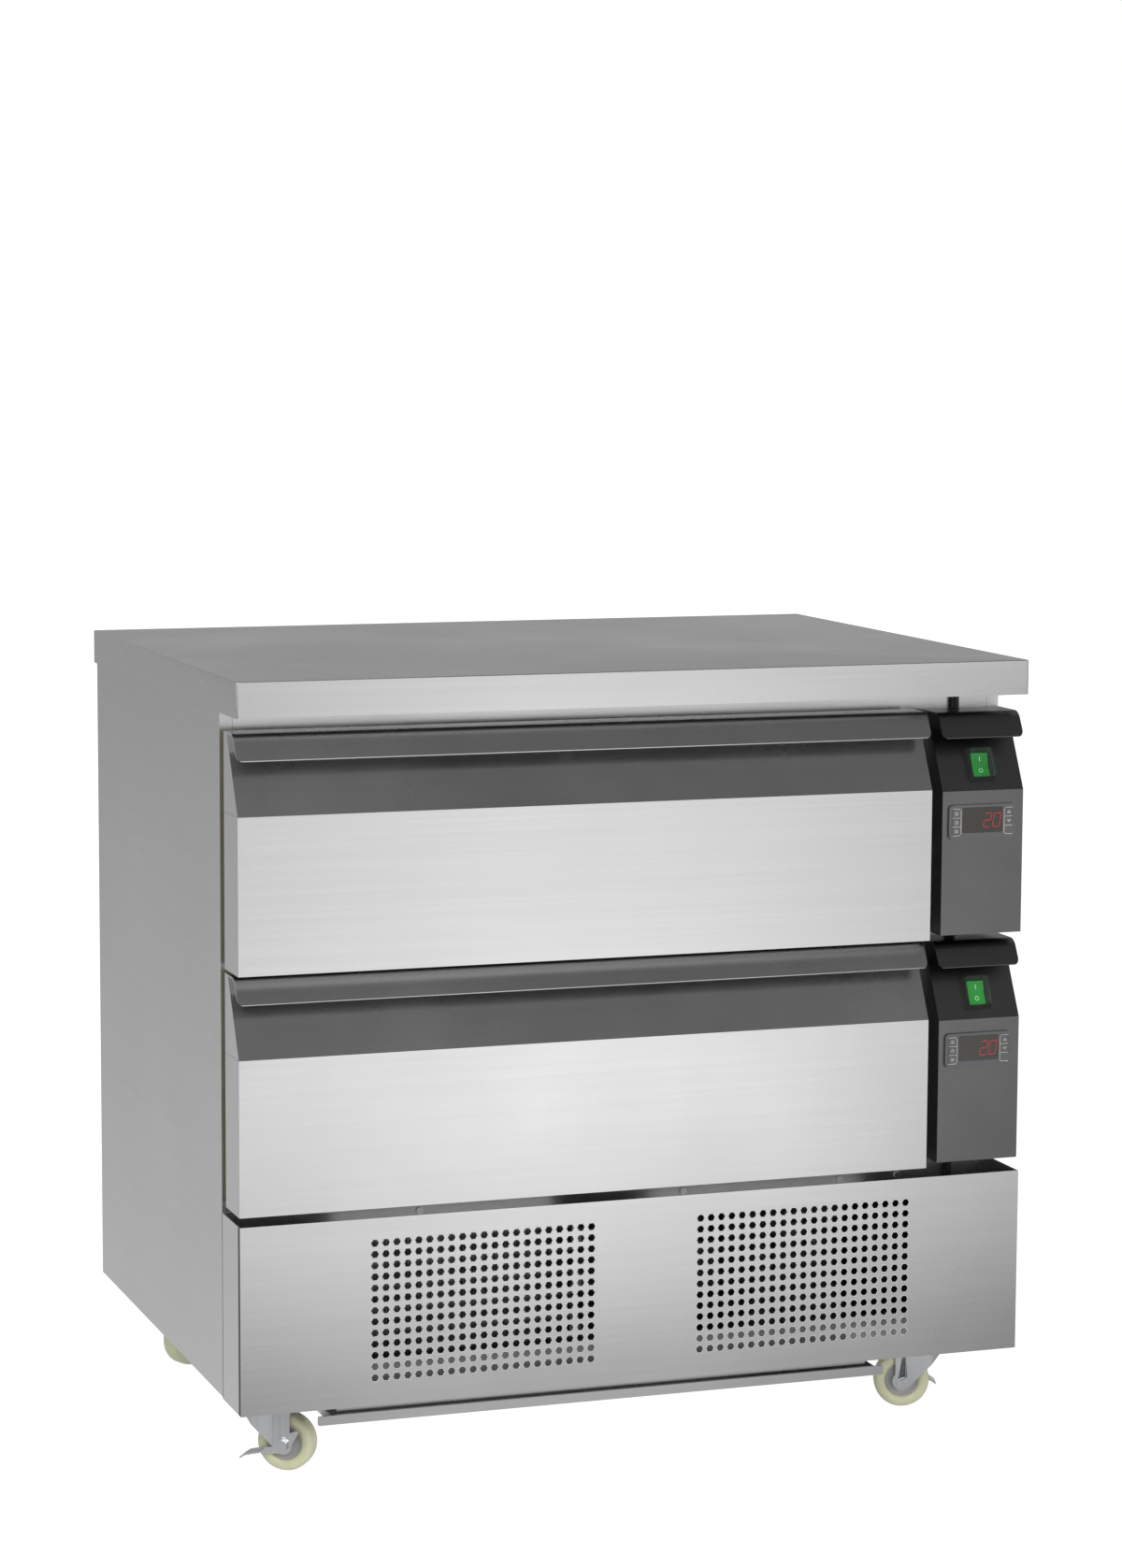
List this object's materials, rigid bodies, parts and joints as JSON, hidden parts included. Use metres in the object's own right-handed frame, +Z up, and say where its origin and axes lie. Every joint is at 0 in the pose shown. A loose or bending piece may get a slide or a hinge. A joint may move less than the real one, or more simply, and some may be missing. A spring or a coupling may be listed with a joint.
{
  "type": "refrigerated drawer counter",
  "caption": "Low stainless refrigerated counter on swivel castors, with wide insulated drawers under a flat worktop, a dark control column and a perforated cover.",
  "frame": {"origin": "on the floor under the middle of the worktop", "axes": "+X to the right along the drawers, +Y to the back, +Z up"},
  "size_m": [0.896, 0.66, 0.864],
  "materials": {
    "stainless": "brushed",
    "slide_steel": "satin",
    "zinc_steel": "bright zinc",
    "foam": "matt foam",
    "black_coat": "satin black",
    "black_plastic": "satin",
    "dark_window": "smoked",
    "green_lens": "lit lens",
    "seal_rubber": "matt",
    "nylon": "satin cream",
    "fin_aluminium": "mill",
    "motor_steel": "grey",
    "copper": "drawn copper"
  },
  "bodies": {
    "cabinet": {"worktop": "stainless", "side_panels": "stainless", "back_panel": "stainless", "face_frame": "stainless", "grille_panel": "stainless", "base_pan": "stainless", "chamber_liners": "stainless", "cabinet_slides": "slide_steel", "castor_plates": "zinc_steel", "fasteners": "zinc_steel", "insulation_boards": "foam", "upper_control_housing": "black_coat", "lower_control_housing": "black_coat", "compressor": "black_coat", "controller_cases": "black_plastic", "switch_frames": "black_plastic", "wiring_conduit": "black_plastic", "wiring_box": "black_plastic", "display_windows": "dark_window", "condenser": "fin_aluminium", "evaporator_units": "fin_aluminium", "fan_motors": "motor_steel", "refrigerant_pipes": "copper"},
    "upper_drawer": {"upper_drawer_skin": "stainless", "upper_drawer_core": "foam", "upper_drawer_gasket": "seal_rubber", "upper_drawer_frame": "stainless"},
    "upper_slides": {"upper_middle_slides": "slide_steel"},
    "lower_drawer": {"lower_drawer_skin": "stainless", "lower_drawer_core": "foam", "lower_drawer_gasket": "seal_rubber", "lower_drawer_frame": "stainless"},
    "lower_slides": {"lower_middle_slides": "slide_steel"},
    "upper_set_key": {"upper_set_key": "black_plastic"},
    "upper_timer_key": {"upper_timer_key": "black_plastic"},
    "upper_light_key": {"upper_light_key": "black_plastic"},
    "upper_up_key": {"upper_up_key": "black_plastic"},
    "upper_down_key": {"upper_down_key": "black_plastic"},
    "upper_rocker": {"upper_rocker": "green_lens"},
    "lower_set_key": {"lower_set_key": "black_plastic"},
    "lower_timer_key": {"lower_timer_key": "black_plastic"},
    "lower_light_key": {"lower_light_key": "black_plastic"},
    "lower_up_key": {"lower_up_key": "black_plastic"},
    "lower_down_key": {"lower_down_key": "black_plastic"},
    "lower_rocker": {"lower_rocker": "green_lens"},
    "condenser_fan": {"condenser_fan": "black_plastic"},
    "upper_cold_fan": {"upper_cold_fan": "black_plastic"},
    "lower_cold_fan": {"lower_cold_fan": "black_plastic"},
    "front_left_castor": {"front_left_fork": "zinc_steel"},
    "front_left_wheel": {"front_left_wheel": "nylon"},
    "front_left_brake": {"front_left_brake_lever": "zinc_steel"},
    "front_right_castor": {"front_right_fork": "zinc_steel"},
    "front_right_wheel": {"front_right_wheel": "nylon"},
    "front_right_brake": {"front_right_brake_lever": "zinc_steel"},
    "rear_left_castor": {"rear_left_fork": "zinc_steel"},
    "rear_left_wheel": {"rear_left_wheel": "nylon"},
    "rear_right_castor": {"rear_right_fork": "zinc_steel"},
    "rear_right_wheel": {"rear_right_wheel": "nylon"},
    "drip_tray": {"drip_tray": "stainless"}
  },
  "joints": [
    {"name": "upper_drawer_slide", "type": "slide", "parent": "cabinet", "child": "upper_drawer", "axis": [0, -1, 0], "range_m": [0, 0.48]},
    {"name": "upper_slides_follow", "type": "slide", "parent": "cabinet", "child": "upper_slides", "axis": [0, -1, 0], "range_m": [0, 0.24]},
    {"name": "lower_drawer_slide", "type": "slide", "parent": "cabinet", "child": "lower_drawer", "axis": [0, -1, 0], "range_m": [0, 0.48]},
    {"name": "lower_slides_follow", "type": "slide", "parent": "cabinet", "child": "lower_slides", "axis": [0, -1, 0], "range_m": [0, 0.24]},
    {"name": "upper_set_press", "type": "slide", "parent": "cabinet", "child": "upper_set_key", "axis": [0, 1, 0], "range_m": [0, 0.0005], "stiffness_N_per_m": 600, "springref_m": -0.001},
    {"name": "upper_timer_press", "type": "slide", "parent": "cabinet", "child": "upper_timer_key", "axis": [0, 1, 0], "range_m": [0, 0.0005], "stiffness_N_per_m": 600, "springref_m": -0.001},
    {"name": "upper_light_press", "type": "slide", "parent": "cabinet", "child": "upper_light_key", "axis": [0, 1, 0], "range_m": [0, 0.0005], "stiffness_N_per_m": 600, "springref_m": -0.001},
    {"name": "upper_up_press", "type": "slide", "parent": "cabinet", "child": "upper_up_key", "axis": [0, 1, 0], "range_m": [0, 0.0005], "stiffness_N_per_m": 600, "springref_m": -0.001},
    {"name": "upper_down_press", "type": "slide", "parent": "cabinet", "child": "upper_down_key", "axis": [0, 1, 0], "range_m": [0, 0.0005], "stiffness_N_per_m": 600, "springref_m": -0.001},
    {"name": "upper_rocker_tilt", "type": "hinge", "parent": "cabinet", "child": "upper_rocker", "pos_m": [0.3987, -0.30947, 0.74689], "axis": [-1, 0, 0], "range_deg": [0, 14]},
    {"name": "lower_set_press", "type": "slide", "parent": "cabinet", "child": "lower_set_key", "axis": [0, 1, 0], "range_m": [0, 0.0005], "stiffness_N_per_m": 600, "springref_m": -0.001},
    {"name": "lower_timer_press", "type": "slide", "parent": "cabinet", "child": "lower_timer_key", "axis": [0, 1, 0], "range_m": [0, 0.0005], "stiffness_N_per_m": 600, "springref_m": -0.001},
    {"name": "lower_light_press", "type": "slide", "parent": "cabinet", "child": "lower_light_key", "axis": [0, 1, 0], "range_m": [0, 0.0005], "stiffness_N_per_m": 600, "springref_m": -0.001},
    {"name": "lower_up_press", "type": "slide", "parent": "cabinet", "child": "lower_up_key", "axis": [0, 1, 0], "range_m": [0, 0.0005], "stiffness_N_per_m": 600, "springref_m": -0.001},
    {"name": "lower_down_press", "type": "slide", "parent": "cabinet", "child": "lower_down_key", "axis": [0, 1, 0], "range_m": [0, 0.0005], "stiffness_N_per_m": 600, "springref_m": -0.001},
    {"name": "lower_rocker_tilt", "type": "hinge", "parent": "cabinet", "child": "lower_rocker", "pos_m": [0.3987, -0.30947, 0.49289], "axis": [-1, 0, 0], "range_deg": [0, 14]},
    {"name": "condenser_fan_spin", "type": "hinge", "parent": "cabinet", "child": "condenser_fan", "pos_m": [-0.18, -0.164, 0.19], "axis": [0, 1, 0], "continuous": true},
    {"name": "upper_cold_fan_spin", "type": "hinge", "parent": "cabinet", "child": "upper_cold_fan", "pos_m": [0.3142, -0.18, 0.683], "axis": [1, 0, 0], "continuous": true},
    {"name": "lower_cold_fan_spin", "type": "hinge", "parent": "cabinet", "child": "lower_cold_fan", "pos_m": [0.3142, -0.18, 0.429], "axis": [1, 0, 0], "continuous": true},
    {"name": "front_left_swivel", "type": "hinge", "parent": "cabinet", "child": "front_left_castor", "pos_m": [-0.388, -0.212, 0.085], "axis": [0, 0, 1], "continuous": true},
    {"name": "front_left_wheel_roll", "type": "hinge", "parent": "front_left_castor", "child": "front_left_wheel", "pos_m": [-0.36727, -0.22598, 0.0315], "axis": [0.5592, 0.829, 0], "continuous": true},
    {"name": "front_left_brake_press", "type": "hinge", "parent": "front_left_castor", "child": "front_left_brake", "pos_m": [-0.36727, -0.22598, 0.0315], "axis": [-0.5592, -0.829, 0], "range_deg": [0, 15]},
    {"name": "front_right_swivel", "type": "hinge", "parent": "cabinet", "child": "front_right_castor", "pos_m": [0.388, -0.212, 0.085], "axis": [0, 0, 1], "continuous": true},
    {"name": "front_right_wheel_roll", "type": "hinge", "parent": "front_right_castor", "child": "front_right_wheel", "pos_m": [0.36436, -0.20386, 0.0315], "axis": [-0.3256, -0.9455, 0], "continuous": true},
    {"name": "front_right_brake_press", "type": "hinge", "parent": "front_right_castor", "child": "front_right_brake", "pos_m": [0.36436, -0.20386, 0.0315], "axis": [0.3256, 0.9455, 0], "range_deg": [0, 15]},
    {"name": "rear_left_swivel", "type": "hinge", "parent": "cabinet", "child": "rear_left_castor", "pos_m": [-0.388, 0.212, 0.085], "axis": [0, 0, 1], "continuous": true},
    {"name": "rear_left_wheel_roll", "type": "hinge", "parent": "rear_left_castor", "child": "rear_left_wheel", "pos_m": [-0.36534, 0.22257, 0.0315], "axis": [-0.4226, 0.9063, 0], "continuous": true},
    {"name": "rear_right_swivel", "type": "hinge", "parent": "cabinet", "child": "rear_right_castor", "pos_m": [0.388, 0.212, 0.085], "axis": [0, 0, 1], "continuous": true},
    {"name": "rear_right_wheel_roll", "type": "hinge", "parent": "rear_right_castor", "child": "rear_right_wheel", "pos_m": [0.40473, 0.23058, 0.0315], "axis": [-0.7431, 0.6691, 0], "continuous": true},
    {"name": "drip_tray_slide", "type": "slide", "parent": "cabinet", "child": "drip_tray", "axis": [0, -1, 0], "range_m": [0, 0.28]}
  ],
  "couplings": [
    {"joint": "upper_slides_follow", "follows": "upper_drawer_slide", "ratio": 0.5},
    {"joint": "lower_slides_follow", "follows": "lower_drawer_slide", "ratio": 0.5}
  ]
}
